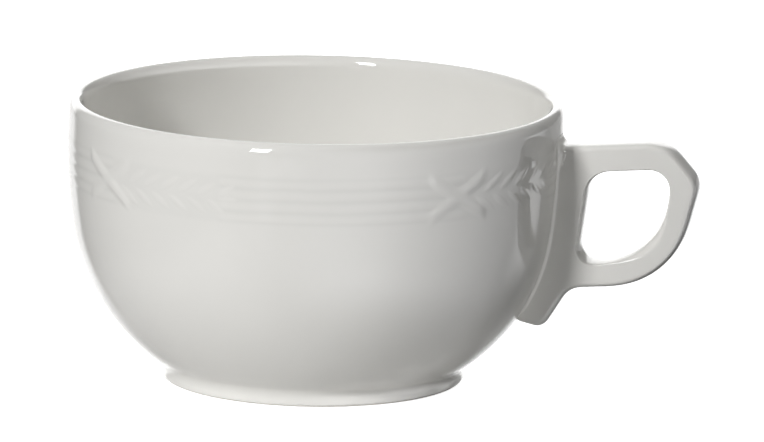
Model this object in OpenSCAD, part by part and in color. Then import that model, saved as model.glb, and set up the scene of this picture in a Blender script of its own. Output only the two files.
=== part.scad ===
// Porcelain breakfast cup: a jiggered bowl on a turned foot ring, with a moulded band of reeds tied
// by crossed ribbons, and a cast loop handle whose strap is luted to the wall with slip.
// Millimetres. The origin is the centre of the foot on the table, +Z is up, the handle is along +X.

/* [Bowl] */
// Height from the table to the crest of the lip
height = 60.7; // [57:0.1:66]
// Widest outside diameter of the bare wall
belly_d = 106.8; // [100:0.2:116]
// Height of the widest level
belly_z = 51.3; // [48:0.1:53]
// Thickness of the wall, and of the round lip
wall = 3; // [2.4:0.1:3.6]
// Section radius of the steep upper side
side_r = 121; // [100:1:160]
// Height where the upper side passes into the round of the bowl
turn_z = 33.1; // [31:0.1:35]
// Section radius of the round of the bowl
bowl_r = 43.5; // [41:0.1:46]
// Thickness of the floor
floor_t = 4; // [3:0.1:5.5]
// Fillet inside, between the floor and the wall
floor_fillet = 14; // [8:0.5:20]

/* [Foot ring] */
// Outside diameter of the foot ring
foot_d = 64.8; // [61:0.2:66]
// Depth of the hollow inside the foot ring
foot_h = 3; // [2.4:0.1:3.4]
// Width of the foot ring
foot_w = 3.6; // [3:0.1:5]
// Rounding of the standing edge
foot_edge = 0.8; // [0.4:0.1:1.2]
// Fillet between the foot ring and the bowl
foot_fillet = 1; // [0.6:0.1:1.6]

/* [Relief band] */
// Height of the middle of the band
band_z = 48.4; // [46:0.1:50]
// Number of reeds
reed_count = 4; // [3:1:4]
// Height of one reed, from groove to groove
reed_pitch = 2.5; // [2.2:0.05:2.8]
// How far a reed stands out from the wall
reed_h = 0.5; // [0.3:0.05:0.8]
// Number of ribbon ties round the cup
tie_count = 4; // [2:2:6]
// Width of a tie, along the wall
tie_w = 14; // [10:0.5:18]
// Height of a tie
tie_h = 9.4; // [7:0.1:9.8]
// Width of a ribbon
ribbon_w = 2; // [1.4:0.1:2.6]
// How far the upper ribbon stands out from the wall
ribbon_h = 0.9; // [0.7:0.05:1.3]

/* [Handle] */
// Width of the handle, seen from its end
handle_w = 8.8; // [7:0.1:11]
// Rounding of the long edges of the handle
handle_edge = 1.5; // [1:0.1:1.7]
// Reach of the loop's outer corner beyond the widest level
reach = 30.5; // [26:0.1:36]
// Drop from the lip to the loop's upper corner
handle_drop = 5.2; // [4:0.1:8]
// Rise of the top bar from the wall to the upper corner
top_rise = 1.8; // [0:0.1:4]
// Depth of the loop, from its upper corner to its lower bar
loop_h = 30.9; // [27:0.1:34]
// Set-back of the upper corner from the outer corner
knee_in = 8; // [5:0.1:10]
// Drop from the upper corner to the outer corner
knee_drop = 9.2; // [7:0.1:12]
// Set-back of the lower corner from the outer corner
heel_in = 6.4; // [4:0.1:9]
// Thickness of the top bar
top_t = 5.9; // [4.6:0.1:7]
// Thickness of the outer side of the loop
side_t = 6.6; // [6:0.1:9]
// Thickness of the lower bar
low_t = 3.2; // [2.6:0.1:5]
// Thickness of the strap at its upper end, out from the wall
strap_t = 6.2; // [4.8:0.1:7]
// Thickness of the strap at the lower bar, out from the wall
root_t = 6.3; // [5:0.1:8]
// Height of the tip of the tail above the table
tail_z = 13.6; // [11:0.1:17]
// Thickness of the tail at its tip, out from the wall
tail_t = 6.7; // [5.5:0.1:8]

/* [Slip joint] */
// Thickness of the slip between the strap and the crests of the reeds
slip_t = 0.3; // [0.2:0.05:0.8]
// Width of the bead of slip beside the strap
slip_bead = 0.8; // [0.4:0.1:1.4]

/* [Hidden] */
$fn = 180;

// Steps of a long arc, of a rounded corner of the handle and of its long edges, of the foot's edges
// and of a reed
arc_steps = 12;
corner_steps = 6;
bar_steps = 2;
edge_steps = 3;
reed_steps = 6;

// Radii of the loop's outline: upper, outer and lower corner, crook above the tail, tip of the tail
knee_r = 6;
elbow_r = 7;
heel_r = 15;
crook_r = 5;
tip_r = 2.8;
// Depth to which the outline runs into the bowl, and the radius of its corners there
sunk = 14;
sunk_r = 9;
// Radii of the finger hole: its corner at the top of the strap, its outer top corner, and its outer
// and inner bottom corner
hole_strap_r = 5.5;
hole_top_r = 4;
hole_heel_r = 16;
hole_root_r = 3.2;
// Slope of the lower bar, and of the tail's end
low_slope = 0.09;
tail_slope = 0.23;
// Height of the finger hole's inner bottom corner below the outer one
hole_fall = 0.4;

belly_r = belly_d / 2;
foot_r = foot_d / 2;
// Centre of the upper side's arc, in section as [radius, height]
side_c = [belly_r - side_r, belly_z];
// Slope of the wall where the two arcs meet
turn_angle = asin((belly_z - turn_z) / side_r);
// Centre of the round of the bowl
bowl_c = side_c + (side_r - bowl_r) * [cos(turn_angle), -sin(turn_angle)];

// Outside radius of the bare wall at a height
function wall_at(z) = z > turn_z
    ? side_c[0] + sqrt(side_r * side_r - (z - side_c[1]) * (z - side_c[1]))
    : bowl_c[0] + sqrt(bowl_r * bowl_r - (z - bowl_c[1]) * (z - bowl_c[1]));

// Lip: a full round on the middle of the wall, square to it
lip_r = wall / 2;
lip_z = height - lip_r;
lip_angle = asin((lip_z - belly_z) / (side_r - lip_r));
lip_c = side_c + (side_r - lip_r) * [cos(lip_angle), sin(lip_angle)];

// Inside floor and its fillet, which touches the floor and the inside of the bowl
floor_z = foot_h + floor_t;
inner_r = bowl_r - wall;
fillet_z = floor_z + floor_fillet;
fillet_c = [
    bowl_c[0] + sqrt(pow(inner_r - floor_fillet, 2) - pow(bowl_c[1] - fillet_z, 2)),
    fillet_z
];

// Fillet outside, which touches the foot ring and the round of the bowl
foot_fillet_r = foot_r + foot_fillet;
foot_fillet_c = [
    foot_fillet_r,
    bowl_c[1] - sqrt(pow(bowl_r + foot_fillet, 2) - pow(foot_fillet_r - bowl_c[0], 2))
];

// Height of the lower edge of the reeds
band_low = band_z - reed_count * reed_pitch / 2;

// Points of an arc, from its first angle up to, but not including, its last
function arc(c, r, from, to, steps) = [
    for (i = [0 : steps - 1])
        let(a = from + (to - from) * i / steps)
        c + r * [cos(a), sin(a)]
];

// Angle of a point, seen from a centre, and of a height on the upper side's arc
function angle_at(c, p) = atan2(p[1] - c[1], p[0] - c[0]);
function side_angle(z) = asin((z - belly_z) / side_r);

// Section of the outer wall from the foot to the lip, grown outwards
function wall_line(grow) = concat(
    arc(bowl_c, bowl_r + grow, angle_at(bowl_c, foot_fillet_c), -turn_angle, arc_steps),
    arc(side_c, side_r + grow, -turn_angle, lip_angle, arc_steps),
    [side_c + (side_r + grow) * [cos(lip_angle), sin(lip_angle)]]
);

// Section of the reeds: half waves on the wall
reed_line = [
    for (i = [0 : reed_count * reed_steps - 1])
        let(z = band_low + i * reed_pitch / reed_steps)
        [wall_at(z) + reed_h * abs(sin(180 * i / reed_steps)), z]
];

// Section of the outer wall with its reeds, up to the lip
reeded_line = concat(
    arc(bowl_c, bowl_r, angle_at(bowl_c, foot_fillet_c), -turn_angle, arc_steps),
    arc(side_c, side_r, -turn_angle, side_angle(band_low), edge_steps),
    reed_line,
    arc(side_c, side_r, side_angle(band_low + reed_count * reed_pitch), lip_angle, edge_steps)
);

// Section of the foot ring, with its rounded standing edge and the fillet above it
foot_line = concat(
    [[foot_r - foot_w, foot_h]],
    arc([foot_r - foot_w + foot_edge, foot_edge], foot_edge, 180, 270, edge_steps),
    [[foot_r - foot_w + foot_edge, 0]],
    arc([foot_r - foot_edge, foot_edge], foot_edge, 270, 360, edge_steps),
    [[foot_r, foot_edge]],
    arc(foot_fillet_c, foot_fillet, 180, angle_at(foot_fillet_c, bowl_c), edge_steps)
);

// Section of the inside, from the lip down to the floor
inside_line = concat(
    arc(side_c, side_r - wall, lip_angle, -turn_angle, arc_steps),
    arc(bowl_c, inner_r, -turn_angle, angle_at(bowl_c, fillet_c), arc_steps),
    arc(fillet_c, floor_fillet, angle_at(bowl_c, fillet_c), -90, arc_steps),
    [[fillet_c[0], floor_z]]
);

// One ribbon of a tie: a flat strip bent to the wall and laid across the reeds at a slant
module ribbon(slant, stand_out) {
    bend_r = belly_r / pow(cos(slant), 2);
    sweep = norm([tie_w, tie_h]) / bend_r * 180 / PI;
    translate([belly_r - bend_r, 0, band_z])
        rotate([slant, 0, 0])
            rotate_extrude(angle = sweep, start = -sweep / 2)
                translate([bend_r - wall / 2, -ribbon_w / 2])
                    square([wall / 2 + stand_out, ribbon_w]);
}

// One tie: two crossed ribbons, of which the falling one lies on top
module tie() {
    slant = atan2(tie_h - ribbon_w, tie_w);
    ribbon(-slant, ribbon_h);
    ribbon(slant, (ribbon_h + reed_h) / 2);
}

module bowl() {
    color("#e3e2dd")
        union() {
            rotate_extrude()
                polygon(concat(
                    [[0, foot_h]],
                    foot_line,
                    reeded_line,
                    arc(lip_c, lip_r, lip_angle, lip_angle + 180, arc_steps),
                    inside_line,
                    [[0, floor_z]]
                ));
            for (i = [0 : tie_count - 1])
                rotate([0, 0, (i + 0.5) * 360 / tie_count])
                    tie();
        }
}

// Points of a rounded corner at p between its neighbours a and b, each with its outward direction
function corner(a, p, b, r, steps) =
    let(
        to_a = (a - p) / norm(a - p),
        to_b = (b - p) / norm(b - p),
        half = acos(to_a * to_b) / 2,
        centre = p + (to_a + to_b) / norm(to_a + to_b) * r / sin(half),
        from = p + to_a * r / tan(half) - centre,
        turn = 180 - 2 * half,
        left = to_a[0] * to_b[1] - to_a[1] * to_b[0] < 0 ? 1 : -1
    )
    [
        for (i = [0 : steps])
            let(
                k = left * turn * i / steps,
                arm = [from[0] * cos(k) - from[1] * sin(k), from[0] * sin(k) + from[1] * cos(k)]
            )
            [centre + arm, left * arm / r]
    ];

// A closed outline, counter-clockwise, from corners [x, z, radius, share]. The share of a corner of the
// finger hole is the number of corners of the loop that lie opposite it.
function outline(corners) =
    let(count = len(corners))
    [
        for (i = [0 : count - 1])
            let(
                a = corners[(i + count - 1) % count],
                p = corners[i],
                b = corners[(i + 1) % count]
            )
            each corner(
                [a[0], a[1]], [p[0], p[1]], [b[0], b[1]], p[2],
                p[3] * (corner_steps + 1) - 1
            )
    ];

// Upper, outer and lower corner of the loop
knee = [belly_r + reach - knee_in, height - handle_drop];
elbow = [belly_r + reach, knee[1] - knee_drop];
heel = [belly_r + reach - heel_in, knee[1] - loop_h];
// Crook between the lower bar and the tail, and the tip of the tail
crook = [wall_at(heel[1]) + root_t, heel[1] - low_slope * (heel[0] - wall_at(heel[1]) - root_t)];
tip = [wall_at(tail_z) + tail_t, tail_z];
// Slope of the top bar, and of the top of the finger hole below it
top_slope = top_rise / (knee[0] - wall_at(knee[1]));
// Upper and lower end of the outline inside the bowl, where the wall cuts it off
top_end = [wall_at(knee[1]) - sunk, knee[1] - top_rise - top_slope * sunk];
tail_end = [wall_at(tail_z) - sunk, tail_z + tail_slope * (tail_t + sunk)];

loop_outline = outline([
    [top_end[0], top_end[1], sunk_r, 1],
    [tail_end[0], tail_end[1], sunk_r, 1],
    [tip[0], tip[1], tip_r, 1],
    [crook[0], crook[1], crook_r, 1],
    [heel[0], heel[1], heel_r, 1],
    [elbow[0], elbow[1], elbow_r, 1],
    [knee[0], knee[1], knee_r, 1]
]);

// Corners of the finger hole, set in from the loop by the thickness of its bars
hole_top = knee[1] - top_t;
hole_low = heel[1] + low_t;
hole_out = elbow[0] - side_t;
hole_in = wall_at(hole_top) + strap_t;
hole_outline = outline([
    [hole_in, hole_top - top_slope * (hole_out - hole_in), hole_strap_r, 1],
    [wall_at(hole_low) + root_t, hole_low - hole_fall, hole_root_r, 3],
    [hole_out, hole_low, hole_heel_r, 2],
    [hole_out, hole_top, hole_top_r, 1]
]);

// The bar between the loop and the finger hole, with rounded long edges
module rounded_bar(loop, hole, width) {
    count = len(loop);
    edge = [
        for (i = [0 : bar_steps])
            let(t = 90 * i / bar_steps)
            [width / 2 - handle_edge * (1 - sin(t)), handle_edge * (1 - cos(t))]
    ];
    back = [for (i = [bar_steps : -1 : 0]) edge[i]];
    points = [
        for (k = [0 : count - 1])
            each concat(
                [for (e = back) rim_point(loop[k], -e[0], -e[1])],
                [for (e = edge) rim_point(loop[k], e[0], -e[1])],
                [for (e = back) rim_point(hole[k], e[0], e[1])],
                [for (e = edge) rim_point(hole[k], -e[0], e[1])]
            )
    ];
    around = 4 * (bar_steps + 1);
    faces = [
        for (k = [0 : count - 1], i = [0 : around - 1])
            let(
                next = (k + 1) % count * around,
                j = (i + 1) % around
            )
            [k * around + i, next + i, next + j, k * around + j]
    ];
    polyhedron(points, faces);
}

// A point of an outline moved along its outward direction, at a place across the width
function rim_point(p, y, out) =
    let(at = p[0] + p[1] * out)
    [at[0], y, at[1]];

// Everything inside a section line of the outer wall
module wall_form(line) {
    rotate_extrude()
        polygon(concat([[0, line[0][1]]], line, [[0, line[len(line) - 1][1]]]));
}

// Skin of slip over the wall, which covers the crests of the reeds
slip_skin = reed_h + slip_t;

module handle() {
    color("#e8e7e3")
        difference() {
            rounded_bar(loop_outline, hole_outline, handle_w);
            wall_form(wall_line(slip_skin));
        }
}

module slip_joint() {
    color("#d8d5cc")
        difference() {
            intersection() {
                wall_form(wall_line(slip_skin));
                rotate([90, 0, 0])
                    linear_extrude(handle_w + 2 * slip_bead, center = true)
                        polygon([for (p = loop_outline) p[0]]);
            }
            wall_form(reeded_line);
        }
}

bowl();
handle();
slip_joint();
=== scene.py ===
import math

import bmesh
import bpy
import numpy as np
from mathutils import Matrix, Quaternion, Vector


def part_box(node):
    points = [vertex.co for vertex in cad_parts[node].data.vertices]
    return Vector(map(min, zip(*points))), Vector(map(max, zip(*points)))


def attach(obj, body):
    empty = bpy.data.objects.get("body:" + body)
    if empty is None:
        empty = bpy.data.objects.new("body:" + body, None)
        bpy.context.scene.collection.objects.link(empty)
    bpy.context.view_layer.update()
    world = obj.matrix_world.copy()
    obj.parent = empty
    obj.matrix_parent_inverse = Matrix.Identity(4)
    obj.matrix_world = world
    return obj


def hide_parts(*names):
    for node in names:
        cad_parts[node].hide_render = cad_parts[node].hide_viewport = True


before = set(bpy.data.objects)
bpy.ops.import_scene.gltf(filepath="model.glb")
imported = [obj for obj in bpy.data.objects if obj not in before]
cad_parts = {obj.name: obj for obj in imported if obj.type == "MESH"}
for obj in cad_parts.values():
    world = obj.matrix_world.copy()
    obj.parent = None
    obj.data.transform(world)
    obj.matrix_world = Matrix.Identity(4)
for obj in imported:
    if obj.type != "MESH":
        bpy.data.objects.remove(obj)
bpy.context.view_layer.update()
MM = 0.001

# Camera: a long lens, a little above the cup and to the right of its middle, so that the handle comes
# towards the viewer. It is rolled by one degree, and looks past the cup's axis to leave room on the right.
look_at = Vector((0, 0, 30.34 * MM))
look_right = 14.48 * MM
look_up = 3.71 * MM
view_distance = 2.0
view_azimuth = math.radians(10)
view_elevation = math.radians(11.433)
view_roll = math.radians(0.988)
view_limit = 100
lens_mm = 437.4
sensor_mm = 36

towards_viewer = Vector((
    math.sin(view_azimuth) * math.cos(view_elevation),
    -math.cos(view_azimuth) * math.cos(view_elevation),
    math.sin(view_elevation),
))
viewer_right = Vector((math.cos(view_azimuth), math.sin(view_azimuth), 0))
viewer_up = towards_viewer.cross(viewer_right)
bpy.ops.object.select_all(action="DESELECT")
bpy.ops.object.camera_add()
camera = bpy.context.object
camera.name = "photo_camera"
camera.data.sensor_width = sensor_mm
camera.data.lens = lens_mm
camera.data.clip_end = view_limit
camera.location = look_at + viewer_right * look_right + viewer_up * look_up + towards_viewer * view_distance
camera.rotation_mode = "QUATERNION"
camera.rotation_quaternion = (-towards_viewer).to_track_quat("-Z", "Y") @ Quaternion((0, 0, 1), view_roll)
bpy.context.scene.camera = camera

# Bowl: white porcelain, jiggered in a plaster mould that leaves the relief band below the lip. The foot
# ring is turned, the lip is rounded by a sponge, and a clear glaze covers all but the standing edge.
bowl_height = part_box("bowl")[1][2]
belly_radius = 53.4 * MM
belly_height = 51.3 * MM
wall_thickness = 3 * MM
lip_rise = 2.8 * MM
side_radius = 121 * MM
turn_height = 33.1 * MM
round_radius = 43.5 * MM
floor_height = 7 * MM
floor_fillet = 14 * MM
foot_radius = 32.7 * MM
foot_hollow = 3 * MM
foot_width = 3.6 * MM
foot_edge = 0.8 * MM
foot_fillet = 3.4 * MM
hollow_fillet = 1.2 * MM
band_middle = 48.4 * MM
band_margin = 1.2 * MM
reed_count = 4
reed_pitch = 2.5 * MM
merge_distance = 0.001 * MM
# Steps of the bowl's turn, and of each arc of its section from the foot over the lip to the floor
spin_steps = 256
edge_steps = 5
foot_fillet_steps = 6
round_steps = 24
side_steps = 5
band_steps = 12
neck_steps = 4
lip_steps = 20
inner_side_steps = 12
inner_round_steps = 14
floor_fillet_steps = 10


def arc(centre, radius, start, end, steps):
    """Points of an arc, from its first angle up to, but not including, its last."""
    angles = [start + (end - start) * i / steps for i in range(steps)]
    return [centre + radius * Vector((math.cos(a), math.sin(a))) for a in angles]


def angle_from(centre, point):
    """Angle of a point of an outline, seen from a centre."""
    return math.atan2(point.y - centre.y, point.x - centre.x)


def side_angle(height):
    """Angle of a height on the arc of the upper side."""
    return math.asin((height - belly_height) / side_radius)


quarter = math.pi / 2
side_centre = Vector((belly_radius - side_radius, belly_height))
turn_angle = math.asin((belly_height - turn_height) / side_radius)
turn_out = Vector((math.cos(turn_angle), -math.sin(turn_angle)))
round_centre = side_centre + (side_radius - round_radius) * turn_out
band_half = reed_count * reed_pitch / 2
band_low = side_angle(band_middle - band_half - band_margin)
band_high = side_angle(band_middle + band_half + band_margin)
lip_half = wall_thickness / 2
lip_angle = math.asin((bowl_height - lip_rise - belly_height) / (side_radius - lip_half))
lip_out = Vector((math.cos(lip_angle), math.sin(lip_angle)))
lip_up = Vector((-lip_out.y, lip_out.x))
lip_centre = side_centre + (side_radius - lip_half) * lip_out
lip_turns = [math.pi * i / lip_steps for i in range(lip_steps)]
inner_radius = round_radius - wall_thickness
fillet_height = floor_height + floor_fillet
fillet_reach = math.sqrt((inner_radius - floor_fillet) ** 2 - (round_centre.y - fillet_height) ** 2)
fillet_centre = Vector((round_centre.x + fillet_reach, fillet_height))
fillet_angle = angle_from(round_centre, fillet_centre)
foot_reach = foot_radius + foot_fillet
foot_drop = math.sqrt((round_radius + foot_fillet) ** 2 - (foot_reach - round_centre.x) ** 2)
foot_centre = Vector((foot_reach, round_centre.y - foot_drop))
foot_inside = foot_radius - foot_width
hollow_corner = Vector((foot_inside - hollow_fillet, foot_hollow - hollow_fillet))
inner_edge = Vector((foot_inside + foot_edge, foot_edge))
outer_edge = Vector((foot_radius - foot_edge, foot_edge))
section = [
    Vector((0, foot_hollow)),
    *arc(hollow_corner, hollow_fillet, quarter, 0, edge_steps),
    *arc(inner_edge, foot_edge, -2 * quarter, -quarter, edge_steps),
    *arc(outer_edge, foot_edge, -quarter, 0, edge_steps),
    Vector((foot_radius, foot_edge)),
    *arc(foot_centre, foot_fillet, 2 * quarter, angle_from(foot_centre, round_centre), foot_fillet_steps),
    *arc(round_centre, round_radius, angle_from(round_centre, foot_centre), -turn_angle, round_steps),
    *arc(side_centre, side_radius, -turn_angle, band_low, side_steps),
    *arc(side_centre, side_radius, band_low, band_high, band_steps),
    *arc(side_centre, side_radius, band_high, lip_angle, neck_steps),
    *[lip_centre + lip_out * lip_half * math.cos(a) + lip_up * lip_rise * math.sin(a) for a in lip_turns],
    *arc(side_centre, side_radius - wall_thickness, lip_angle, -turn_angle, inner_side_steps),
    *arc(round_centre, inner_radius, -turn_angle, fillet_angle, inner_round_steps),
    *arc(fillet_centre, floor_fillet, fillet_angle, -quarter, floor_fillet_steps),
    Vector((fillet_centre.x, floor_height)),
    Vector((fillet_centre.x / 2, floor_height)),
    Vector((0, floor_height)),
]


def wall_at(height):
    """Outside radius of the bare wall at each height."""
    upper = side_centre.x + np.sqrt(np.maximum(side_radius**2 - (height - side_centre.y) ** 2, 0))
    lower = round_centre.x + np.sqrt(np.maximum(round_radius**2 - (height - round_centre.y) ** 2, 0))
    return np.where(height > turn_height, upper, lower)


def close_piece():
    """Merge the doubles of the mesh in edit mode, turn its faces outwards and leave edit mode."""
    bpy.ops.mesh.select_all(action="SELECT")
    bpy.ops.mesh.remove_doubles(threshold=merge_distance)
    bpy.ops.mesh.normals_make_consistent(inside=False)
    bpy.ops.object.mode_set(mode="OBJECT")
    bpy.ops.object.shade_smooth()


bpy.ops.object.select_all(action="DESELECT")
bpy.ops.mesh.primitive_plane_add(size=MM)
bowl = bpy.context.object
bowl.name = "bowl_body"
bowl.data.name = "bowl_body"
bpy.ops.object.mode_set(mode="EDIT")
bpy.ops.mesh.select_all(action="SELECT")
bpy.ops.mesh.merge(type="CENTER")
bpy.ops.transform.translate(value=(0, 0, section[0].y))
for here, ahead in zip(section, section[1:]):
    step = ahead - here
    bpy.ops.mesh.extrude_region_move(TRANSFORM_OT_translate={"value": (step.x, 0, step.y)})
bpy.ops.mesh.select_all(action="SELECT")
bpy.ops.mesh.spin(steps=spin_steps, angle=math.tau, center=(0, 0, 0), axis=(0, 0, 1), use_auto_merge=True)
bpy.ops.mesh.select_all(action="SELECT")
bpy.ops.mesh.remove_doubles(threshold=merge_distance)

# Relief band of the bowl: four reeds bound by crossed ribbons, with a spray of laurel leaves to the right
# of each tie. It is moulded with the wall, and the glaze rounds it and lies thicker in its grooves.
band_cuts = 3
band_soft = 0.7 * MM
reed_stand = 0.06 * MM
groove_half = 0.6 * MM
tie_count = 4
tie_half_width = 7 * MM
tie_half_height = 4.2 * MM
tie_past_end = 1.0 * MM
tie_before_end = 1.4 * MM
ribbon_half = 1.0 * MM
ribbon_soft = 0.85 * MM
ribbon_stand = 0.32 * MM
under_ribbon_stand = 0.6 * ribbon_stand
spray_from = 3.5 * MM
spray_to = 32 * MM
spray_fade = 2.5 * MM
stem_lead = 2.2 * MM
stem_half = 0.35 * MM
leaf_pairs = 6
leaf_pitch = 4.7 * MM
leaf_stagger = 0.25
leaf_slant = math.radians(33)
leaf_length = 6.6 * MM
leaf_half = 1.25 * MM
least_half = 1e-6 * MM
leaf_stand = 0.13 * MM
first_leaf_size = 1.08
leaf_shrink = 0.05
end_leaf_size = 0.8
end_leaf_back = 0.3
vein_half = 0.2 * MM
vein_depth = 0.03 * MM
# Outline of a leaf: powers at its root and its tip, full width, and how soon its middle reaches full height
leaf_root_power = 0.7
leaf_tip_power = 0.9
leaf_swell = 1.95
leaf_rise = 1.4
# Share of the glaze that does not pool between the leaves
bare_pool_loss = 0.55
tiny = 0.01 * MM

band_low_height = side_centre.y + side_radius * math.sin(band_low)
band_high_height = side_centre.y + side_radius * math.sin(band_high)
wall_middle_radius = belly_radius - wall_thickness / 2
mesh = bmesh.from_edit_mesh(bowl.data)
bpy.ops.mesh.select_all(action="DESELECT")
bpy.ops.mesh.select_mode(type="FACE")
for face in mesh.faces:
    middle = face.calc_center_median()
    outside = math.hypot(middle.x, middle.y) > wall_middle_radius
    face.select_set(outside and band_low_height < middle.z < band_high_height)
bmesh.update_edit_mesh(bowl.data)
bpy.ops.mesh.subdivide(number_cuts=band_cuts)
bpy.ops.mesh.select_mode(type="VERT")
close_piece()


def ease(low, high, value):
    """Smooth step from 0 at low to 1 at high."""
    t = np.clip((value - low) / (high - low), 0, 1)
    return t * t * (3 - 2 * t)


def leaf(along, up, root, slant, size):
    """Height of one leaf that springs from a root on the stem, at a slant to it."""
    reach = ((along - root[0]) * math.cos(slant) + (up - root[1]) * math.sin(slant)) / (leaf_length * size)
    across = (up - root[1]) * math.cos(slant) - (along - root[0]) * math.sin(slant)
    inside = (reach > 0) & (reach < 1)
    from_root = np.clip(reach, 0, 1) ** leaf_root_power
    from_tip = np.clip(1 - reach, 0, 1) ** leaf_tip_power
    swell = np.where(inside, from_root * from_tip * leaf_swell, 0)
    half = leaf_half * size * swell + least_half
    dome = np.where(inside, np.clip(1 - (across / half) ** 2, 0, 1) * np.minimum(1, swell * leaf_rise), 0)
    vein = vein_depth / leaf_stand * np.exp(-((across / vein_half) ** 2)) * dome
    return leaf_stand * (dome - vein)


def relief(angle, height):
    """How far the band stands out of the wall, and how much glaze pools, at each angle and height."""
    spacing = math.tau * belly_radius / tie_count
    along = ((angle / math.tau * tie_count) % 1 - 0.5) * spacing
    up = height - band_middle
    in_band = ease(band_half + band_soft, band_half - band_soft, np.abs(up))

    bare = ease(spray_from - spray_fade, spray_from, along) * ease(spray_to, spray_to - spray_fade, along)
    off_groove = np.abs((up + band_half + reed_pitch / 2) % reed_pitch - reed_pitch / 2)
    reeds = reed_stand * (1 - np.exp(-((off_groove / groove_half) ** 2))) * in_band * (1 - bare)

    tie_slope = math.atan2(tie_half_height, tie_half_width)
    spans = ease(tie_half_width + tie_past_end, tie_half_width - tie_before_end, np.abs(along))
    rising = np.abs(up * math.cos(tie_slope) - along * math.sin(tie_slope))
    falling = np.abs(up * math.cos(tie_slope) + along * math.sin(tie_slope))
    under = spans * ease(ribbon_half + ribbon_soft, ribbon_half - ribbon_soft, rising)
    over = spans * ease(ribbon_half + ribbon_soft, ribbon_half - ribbon_soft, falling)

    end = (spray_from + leaf_pitch * (leaf_pairs - end_leaf_back), 0)
    leaves = leaf(along, up, end, 0, end_leaf_size)
    for i in range(leaf_pairs):
        size = first_leaf_size - leaf_shrink * i
        for side in (1, -1):
            root = (spray_from + stem_lead + leaf_pitch * (i + leaf_stagger * side), side * stem_half)
            leaves = np.maximum(leaves, leaf(along, up, root, side * leaf_slant, size))

    stand = np.maximum(reeds, leaves)
    stand = stand * (1 - under) + under * np.maximum(stand, under_ribbon_stand)
    stand = stand * (1 - over) + over * np.maximum(stand, ribbon_stand)
    pool = in_band * np.clip(1 - stand / reed_stand, 0, 1) * (1 - bare_pool_loss * bare)
    return stand, pool


places = np.empty(3 * len(bowl.data.vertices))
bowl.data.vertices.foreach_get("co", places)
places = places.reshape(-1, 3)
around = np.arctan2(places[:, 1], places[:, 0])
radius = np.hypot(places[:, 0], places[:, 1])
on_band = (places[:, 2] > band_low_height - tiny) & (places[:, 2] < band_high_height + tiny)
on_band &= radius > wall_middle_radius
stand, pool = relief(around, places[:, 2])
radius = np.where(on_band, wall_at(places[:, 2]) + stand, radius)
places[:, 0] = radius * np.cos(around)
places[:, 1] = radius * np.sin(around)
bowl.data.vertices.foreach_set("co", places.ravel())
depth = bowl.data.attributes.new("glaze_depth", "FLOAT", "POINT")
depth.data.foreach_set("value", np.where(on_band, pool, 0))
bowl.data.update()

# Glaze of the bowl: a clear gloss coat, dipped and fired. It pools in the grooves of the band and is wiped
# off the standing edge, where the bare biscuit shows. Faint clouds vary its tint, a fine peel its surface.
porcelain_white = (0.80, 0.79, 0.757)
porcelain_gloss = 0.03
pool_colour = (0.60, 0.60, 0.575, 1)
pool_share = 0.2
cloud_scale = 55.0
cloud_detail = 3.0
cloud_tint = (0.965, 0.968, 0.972)
cloud_rough = 0.03
peel_scale = 420.0
peel_detail = 2.0
peel_strength = 0.06
peel_depth = 0.15 * MM
grit_scale = 5200.0
grit_detail = 2.0
grit_share = 2.0
biscuit_pale = (0.80, 0.77, 0.71, 1)
biscuit_dark = (0.70, 0.665, 0.60, 1)
biscuit_rough = 0.62
glaze_edge_high = 0.34 * MM
glaze_edge_low = 0.14 * MM
glaze_edge_waver = 0.3 * MM
glaze_ior = 1.5


class Wire:
    """A socket of a node tree that adds, subtracts and multiplies as a number does."""

    def __init__(self, tree, socket=None):
        self.tree = tree
        self.socket = socket

    def node(self, kind, settings=None, inputs=None, output=0):
        """Add a node, set it, join or fill its sockets, and give back one of its outputs."""
        made = self.tree.nodes.new(kind)
        for name, value in (settings or {}).items():
            setattr(made, name, value)
        for name, value in (inputs or {}).items():
            if isinstance(value, Wire):
                self.tree.links.new(value.socket, made.inputs[name])
            else:
                made.inputs[name].default_value = value
        return Wire(self.tree, made.outputs[output] if made.outputs else None)

    def math(self, operation, first, second):
        """Result of an operation on two wires or numbers."""
        return self.node("ShaderNodeMath", {"operation": operation}, {0: first, 1: second})

    def ease(self, low, high, at_low, at_high):
        """Smooth step from one value at low to another at high."""
        return self.node(
            "ShaderNodeMapRange", {"interpolation_type": "SMOOTHSTEP"},
            {0: self, 1: low, 2: high, 3: at_low, 4: at_high},
        )

    def mix(self, first, second):
        """Colour between two others, with this wire as the share of the second."""
        inputs = {"Factor": self, "A": first, "B": second}
        return self.node("ShaderNodeMix", {"data_type": "RGBA"}, inputs, 2)

    def dot(self, direction):
        """Length of this wire's vector along a direction."""
        inputs = {0: self, 1: direction}
        return self.node("ShaderNodeVectorMath", {"operation": "DOT_PRODUCT"}, inputs, "Value")

    def __add__(self, other):
        return self.math("ADD", self, other)

    def __radd__(self, other):
        return self.math("ADD", other, self)

    def __sub__(self, other):
        return self.math("SUBTRACT", self, other)

    def __rsub__(self, other):
        return self.math("SUBTRACT", other, self)

    def __mul__(self, other):
        return self.math("MULTIPLY", self, other)

    def __rmul__(self, other):
        return self.math("MULTIPLY", other, self)


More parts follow.
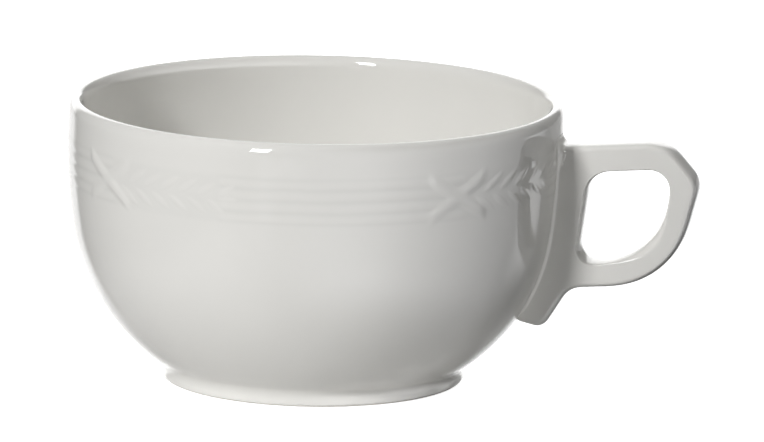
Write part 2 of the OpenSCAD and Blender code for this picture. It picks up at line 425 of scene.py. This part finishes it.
def porcelain(name, body, gloss):
    """White porcelain under a clear glaze, bare on the edge that the cup stands on."""
    material = bpy.data.materials.new(name)
    material.use_nodes = True
    material.node_tree.nodes.clear()
    start = Wire(material.node_tree)
    place = start.node("ShaderNodeTexCoord", output="Object")

    def noise(scale, detail):
        """Noise that is fixed to the piece."""
        inputs = {"Vector": place, "Scale": scale, "Detail": detail}
        return start.node("ShaderNodeTexNoise", {}, inputs, "Fac")

    cloud = noise(cloud_scale, cloud_detail)
    peel = noise(peel_scale, peel_detail)
    grit = noise(grit_scale, grit_detail)
    height = start.node("ShaderNodeSeparateXYZ", {}, {"Vector": place}, "Z")
    pooled = start.node("ShaderNodeAttribute", {"attribute_name": "glaze_depth"}, output="Fac")

    wavering = height + (peel - 0.5) * glaze_edge_waver
    unglazed = wavering.ease(glaze_edge_high, glaze_edge_low, 0.0, 1.0)
    clouded = tuple(part * tint for part, tint in zip(body, cloud_tint))
    glazed = (pooled * pool_share).mix(cloud.mix((*body, 1), (*clouded, 1)), pool_colour)
    colour = unglazed.mix(glazed, grit.mix(biscuit_pale, biscuit_dark))
    glaze_rough = gloss + cloud * cloud_rough
    rough = glaze_rough + unglazed * (biscuit_rough - glaze_rough)
    bump = start.node("ShaderNodeBump", {}, {
        "Strength": peel_strength, "Distance": peel_depth, "Height": peel + unglazed * grit * grit_share,
    })
    shader = start.node("ShaderNodeBsdfPrincipled", {}, {
        "Base Color": colour, "Roughness": rough, "Normal": bump, "IOR": glaze_ior,
    })
    start.node("ShaderNodeOutputMaterial", {}, {"Surface": shader})
    return material


glaze = porcelain("clear_glaze_on_porcelain", porcelain_white, porcelain_gloss)
bowl.data.materials.append(glaze)
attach(bowl, "root")
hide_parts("bowl")

# Handle: one porcelain casting, a loop with flat sides and rounded edges. Its strap lies along the wall
# from the band down to a tail, and is luted to the bowl while the clay is still damp.
handle_width = 8.8 * MM
loop_depth = 1.5 * MM
loop_power = 2 / 3
hole_depth = 0.6 * MM
hole_power = 2 / 2.2
rim_steps = 24
bend_steps = 24
least_bend_steps = 6
straight_spacing = 0.5 * MM
soften = 6
side_border = 0.06 * MM
# The low outer part of the finger hole slopes towards both sides: by how much, and where the slope begins
# and is full, outwards from the axis and down from the top bar
hole_slope = 2.6 * MM
slope_outwards = (65 * MM, 76 * MM)
slope_downwards = (42 * MM, 31 * MM)
# Corners of both outlines: distance from the axis, height and radius of the bend, in millimetres
hole_corners = {
    "strap_top": (60.1, 48.2, 5.5),
    "root": (57.6, 28.9, 3.2),
    "heel": (77.3, 27.8, 16),
    "top": (77.3, 49.6, 4),
}
loop_corners = {
    "top_end": (51.4, 53.5, 2.2),
    "wall_middle": (50.6, 33.5, 30),
    "tail_end": (43.3, 15.3, 2.2),
    "tip": (50.6, 13.6, 2.8),
    "crook": (56.2, 22.7, 5),
    "heel": (78.2, 24.5, 18),
    "elbow": (83.9, 46.8, 5.5),
    "knee": (76.2, 55.6, 8),
}


def bends(corners):
    """Points of a closed outline with rounded corners."""
    marks = [(Vector((x, z)) * MM, bend * MM) for x, z, bend in corners.values()]
    count = len(marks)
    arcs = []
    for i, (corner, bend) in enumerate(marks):
        to_last = (marks[i - 1][0] - corner).normalized()
        to_next = (marks[(i + 1) % count][0] - corner).normalized()
        half = to_last.angle(to_next) / 2
        centre = corner + (to_last + to_next).normalized() * (bend / math.sin(half))
        first = angle_from(centre, corner + to_last * (bend / math.tan(half)))
        turn = math.copysign(math.pi - 2 * half, to_last.y * to_next.x - to_last.x * to_next.y)
        steps = max(least_bend_steps, math.ceil(bend_steps * abs(turn) / quarter))
        arcs.append(arc(centre, bend, first, first + turn * (steps + 1) / steps, steps + 1))
    points = []
    for i, bent in enumerate(arcs):
        points += bent
        ahead = arcs[(i + 1) % count][0]
        pieces = max(1, round((ahead - bent[-1]).length / straight_spacing))
        points += [bent[-1].lerp(ahead, k / pieces) for k in range(1, pieces)]
    points = np.array(points)
    for _ in range(soften):
        points = (np.roll(points, 1, axis=0) + 2 * points + np.roll(points, -1, axis=0)) / 4
    return points


def outward(points):
    """Direction square to a closed outline at each of its points, away from what it encloses."""
    run = np.roll(points, -1, axis=0) - np.roll(points, 1, axis=0)
    square = np.stack([run[:, 1], -run[:, 0]], axis=1)
    return square / np.linalg.norm(square, axis=1, keepdims=True)


def grid_piece(name, rings, closed):
    """A skin through rings of points, made from a grid whose first and last ring are merged."""
    ring_count, side_count = rings.shape[:2]
    sides = side_count if closed else side_count - 1
    bpy.ops.object.select_all(action="DESELECT")
    bpy.ops.mesh.primitive_grid_add(x_subdivisions=ring_count, y_subdivisions=sides, size=1)
    piece = bpy.context.object
    piece.name = name
    piece.data.name = name
    flat = np.empty(3 * len(piece.data.vertices))
    piece.data.vertices.foreach_get("co", flat)
    flat = flat.reshape(-1, 3)
    ring = np.rint((flat[:, 0] + 0.5) * ring_count).astype(int) % ring_count
    side = np.rint((flat[:, 1] + 0.5) * sides).astype(int) % side_count
    piece.data.vertices.foreach_set("co", rings[ring, side].ravel())
    bpy.ops.object.mode_set(mode="EDIT")
    close_piece()
    return piece


def rim(name, points, depth, power):
    """The crowned face along an outline, which falls by a depth to each flat side of the handle."""
    turn = np.linspace(-quarter, quarter, rim_steps + 1)
    across = np.sign(turn) * np.abs(np.sin(turn)) ** power * handle_width / 2
    fall = 1 - np.abs(np.cos(turn)) ** power
    line = points[:, None, :] - outward(points)[:, None, :] * (depth[:, None] * fall)[:, :, None]
    rings = np.stack([line[:, :, 0], np.broadcast_to(across, line.shape[:2]), line[:, :, 1]], axis=2)
    return grid_piece(name, rings, False)


hole_line = bends(hole_corners)
low_outside = ease(*slope_outwards, hole_line[:, 0]) * ease(*slope_downwards, hole_line[:, 1])
finger_hole = rim("finger_hole", hole_line, -hole_depth - hole_slope * low_outside, hole_power)
loop_line = bends(loop_corners)
handle = rim("handle_loop", loop_line, np.full(len(loop_line), loop_depth), loop_power)
finger_hole.select_set(True)
bpy.ops.object.join()
bpy.ops.object.mode_set(mode="EDIT")
bpy.ops.mesh.select_mode(type="EDGE")
for front in (True, False):
    bpy.ops.mesh.select_all(action="DESELECT")
    mesh = bmesh.from_edit_mesh(handle.data)
    for edge in mesh.edges:
        edge.select_set(edge.is_boundary and (edge.verts[0].co.y < 0) == front)
    bmesh.update_edit_mesh(handle.data)
    bpy.ops.mesh.fill(use_beauty=True)
    bpy.ops.mesh.inset(thickness=side_border, use_boundary=True, use_even_offset=True)
bpy.ops.mesh.select_mode(type="VERT")
close_piece()
handle.data.materials.append(glaze)
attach(handle, "root")
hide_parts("handle")

# Slip joint: the liquid clay that luted the strap to the wall, wiped into a small hollow fillet all round
# it and fired under the same glaze. It is widest on top, where the bar springs from the wall.
joint_inset = 0.1 * MM
joint_top = 53.6 * MM
joint_low = 15.6 * MM
joint_corner = 1.8 * MM
joint_side_fillet = 0.9 * MM
joint_top_fillet = 2.0 * MM
joint_tail_fillet = 0.7 * MM
joint_root = 0.7 * MM
joint_steps = 10
joint_corner_steps = 8
joint_spacing = 0.4 * MM
# Distances from both ends, between which the fillet at the sides passes into the fillet at the end
top_fade = (6 * MM, 0.5 * MM)
tail_fade = (5 * MM, 0.5 * MM)
slip_white = (0.79, 0.78, 0.74)
slip_gloss = 0.05

corner_side = handle_width / 2 - joint_inset - joint_corner
corner_top = joint_top - joint_corner
corner_low = joint_low + joint_corner
joint_corners = [
    Vector((corner_side, corner_top)),
    Vector((-corner_side, corner_top)),
    Vector((-corner_side, corner_low)),
    Vector((corner_side, corner_low)),
]
route = []
for i, centre in enumerate(joint_corners):
    last = (i + 1) * quarter
    route += arc(centre, joint_corner, i * quarter, last, joint_corner_steps)
    route.append(centre + joint_corner * Vector((math.cos(last), math.sin(last))))
spaced = []
for i, point in enumerate(route):
    ahead = route[(i + 1) % len(route)]
    pieces = max(1, round((ahead - point).length / joint_spacing))
    spaced += [point.lerp(ahead, k / pieces) for k in range(pieces)]
path = np.array(spaced)
path_out = outward(path)
top_share = ease(joint_top - top_fade[0], joint_top - top_fade[1], path[:, 1])
tail_share = ease(joint_low + tail_fade[0], joint_low + tail_fade[1], path[:, 1])
fillet = joint_side_fillet + (joint_top_fillet - joint_side_fillet) * top_share
fillet = fillet + (joint_tail_fillet - fillet) * tail_share


def on_wall(side, height):
    """Points of the bare wall in front of the handle, at each place across it and each height."""
    return np.stack([np.sqrt(wall_at(height) ** 2 - side**2), side, height], axis=1)


base = on_wall(path[:, 0], path[:, 1])
toe = on_wall(path[:, 0] + path_out[:, 0] * fillet, path[:, 1] + path_out[:, 1] * fillet)
slope = (wall_at(path[:, 1] + tiny) - wall_at(path[:, 1] - tiny)) / (2 * tiny)
normal = np.stack([base[:, 0] / wall_at(path[:, 1]), base[:, 1] / wall_at(path[:, 1]), -slope], axis=1)
normal /= np.linalg.norm(normal, axis=1, keepdims=True)
away = (toe - base) / fillet[:, None]
ring_points = [
    base + away * (fillet * (1 - math.sin(a)))[:, None] + normal * (fillet * (1 - math.cos(a)))[:, None]
    for a in np.linspace(0, quarter, joint_steps + 1)
]
ring_points.append(base - away * joint_root + normal * fillet[:, None])
ring_points.append(base - away * joint_root - normal * joint_root)
ring_points.append(base + away * fillet[:, None] - normal * joint_root)
joint = grid_piece("slip_fillet", np.stack(ring_points, axis=1), True)
joint.data.materials.append(porcelain("clear_glaze_on_slip", slip_white, slip_gloss))
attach(joint, "root")
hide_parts("slip_joint")

# Table: a plain white board that runs out to the white background. It throws light up under the bowl and
# keeps a faint shadow of the cup. Grey cards lie on both sides, out of sight. For mirrored rays alone the
# board glows in patches, set by the direction of the mirrored ray: painted reflections of bright
# surroundings, and a painted trail under the lamp's glint on the cup.
table_size = 6.0
table_white = 0.82
table_grey = 0.12
table_glow = 0.85
grey_middle = -15 * MM
grey_from = 35 * MM
grey_to = 105 * MM
# Painted reflections, where the board glows for mirrored rays only. Patches: angle from the front, half
# width and softness, the slopes where it is full and where it is gone, all in degrees, and how bright it is
painted_reflection_patches = {
    "behind": (195, 25, 4, 15, 35, 1.3),
    "strip_behind": (133, 9, 5, 15, 35, 1.3),
    "right_behind": (156, 14, 5, 15, 35, 0.45),
    "painted_glint_trail": (-13, 3, 1, 15, 35, 0.6),
    "right": (66, 52, 30, 30, 80, 3.6),
}


def patch(facing, slope, azimuth, half, soft, full, gone, bright):
    """Brightness of a patch of the surroundings in the direction that a ray faces, with soft edges."""
    a = math.radians(azimuth)
    along = facing.dot((math.sin(a), -math.cos(a), 0))
    across = facing.dot((math.cos(a), math.sin(a), 0))
    angle = facing.math("ARCTAN2", facing.math("ABSOLUTE", across, 0.0), along)
    sides = angle.ease(math.radians(half - soft), math.radians(half + soft), 1.0, 0.0)
    end = slope.ease(math.sin(math.radians(full)), math.sin(math.radians(gone)), 1.0, 0.0)
    return sides * end * bright


bpy.ops.object.select_all(action="DESELECT")
bpy.ops.mesh.primitive_plane_add(size=table_size)
table = bpy.context.object
table.name = "white_table"
table_paint = bpy.data.materials.new("white_table")
table_paint.use_nodes = True
table_paint.node_tree.nodes.clear()
board = Wire(table_paint.node_tree)
seen = board.node("ShaderNodeLightPath", output="Is Camera Ray")
mirrored = board.node("ShaderNodeLightPath", output="Is Glossy Ray")
coming = board.node("ShaderNodeNewGeometry", output="Incoming")
going = board.node("ShaderNodeVectorMath", {"operation": "SCALE"}, {0: coming, "Scale": -1.0}, "Vector")
steep = board.node("ShaderNodeSeparateXYZ", {}, {"Vector": coming}, "Z")
# Glow of the board: evenly white for the camera, and painted reflections in patches for mirrored rays only
shown = seen * table_glow + mirrored * sum(patch(going, steep, *sizes) for sizes in painted_reflection_patches.values())
spot = board.node("ShaderNodeNewGeometry", output="Position")
sideways = board.node("ShaderNodeSeparateXYZ", {}, {"Vector": spot}, "X")
grey = board.math("ABSOLUTE", sideways - grey_middle, 0.0).ease(grey_from, grey_to, 0.0, 1.0)
white = table_white - (table_white - table_grey) * grey * (1 - seen)
paint = board.node("ShaderNodeCombineColor", {}, {0: white, 1: white, 2: white})
matt = board.node("ShaderNodeBsdfDiffuse", {}, {"Color": paint})
glow = board.node("ShaderNodeEmission", {}, {"Color": (1, 1, 1, 1), "Strength": shown})
both = board.node("ShaderNodeAddShader", {}, {0: matt, 1: glow})
board.node("ShaderNodeOutputMaterial", {}, {"Surface": both})
table.data.materials.append(table_paint)

# Studio: a key light in front on the left, a weak light on the right, one high on the right and one behind.
# The glaze mirrors none of these. It mirrors the white background behind the cup, a bright window on the
# right, a dim room, and one small lamp that glints on the lip.
light_distance = 1.2
light_aim = Vector((0, 0, 35 * MM))
room_mirrored = 0.15
room_light = 0.03
# Patches of the surroundings above the table, given as those of the table are
studio_patches = {
    "background": (196, 24, 4, 25, 55, 2.0),
    "window": (66, 52, 30, 5, 45, 3.0),
}


def soft_light(name, azimuth, elevation, width, height, power):
    """An area light that faces the cup, at an angle round it from the front and above the table."""
    a, e = math.radians(azimuth), math.radians(elevation)
    spot = Vector((math.sin(a) * math.cos(e), -math.cos(a) * math.cos(e), math.sin(e)))
    bpy.ops.object.light_add(type="AREA", location=light_aim + spot * light_distance)
    light = bpy.context.object
    light.name = name
    light.data.shape = "RECTANGLE"
    light.data.size = width
    light.data.size_y = height
    light.data.energy = power
    light.rotation_mode = "QUATERNION"
    light.rotation_quaternion = spot.to_track_quat("Z", "Y")
    light.visible_glossy = False
    return light


soft_light("key_light", azimuth=-28, elevation=26, width=0.2, height=0.2, power=10.8)
soft_light("right_light", azimuth=50, elevation=28, width=0.5, height=0.5, power=0.8)
soft_light("top_light", azimuth=112, elevation=65, width=0.5, height=0.5, power=4.2)
soft_light("back_light", azimuth=178, elevation=28, width=0.5, height=0.5, power=4.5)
glint = soft_light("glint_lamp", azimuth=-15.5, elevation=24, width=0.17, height=0.4, power=5.0)
glint.visible_glossy = True
glint.visible_diffuse = False

world = bpy.data.worlds.new("white_studio")
bpy.context.scene.world = world
world.use_nodes = True
world.node_tree.nodes.clear()
sky = Wire(world.node_tree)
seen = sky.node("ShaderNodeLightPath", output="Is Camera Ray")
mirrored = sky.node("ShaderNodeLightPath", output="Is Glossy Ray")
through = sky.node("ShaderNodeLightPath", output="Is Transmission Ray")
facing = sky.node("ShaderNodeTexCoord", output="Generated")
rising = sky.node("ShaderNodeSeparateXYZ", {}, {"Vector": facing}, "Z")
reflected = room_mirrored + sum(patch(facing, rising, *sizes) for sizes in studio_patches.values())
strength = seen + through + mirrored * reflected + room_light * (1 - seen - through - mirrored)
light = sky.node("ShaderNodeBackground", {}, {"Color": (1, 1, 1, 1), "Strength": strength})
sky.node("ShaderNodeOutputWorld", {}, {"Surface": light})
bpy.context.scene.view_settings.view_transform = "Standard"
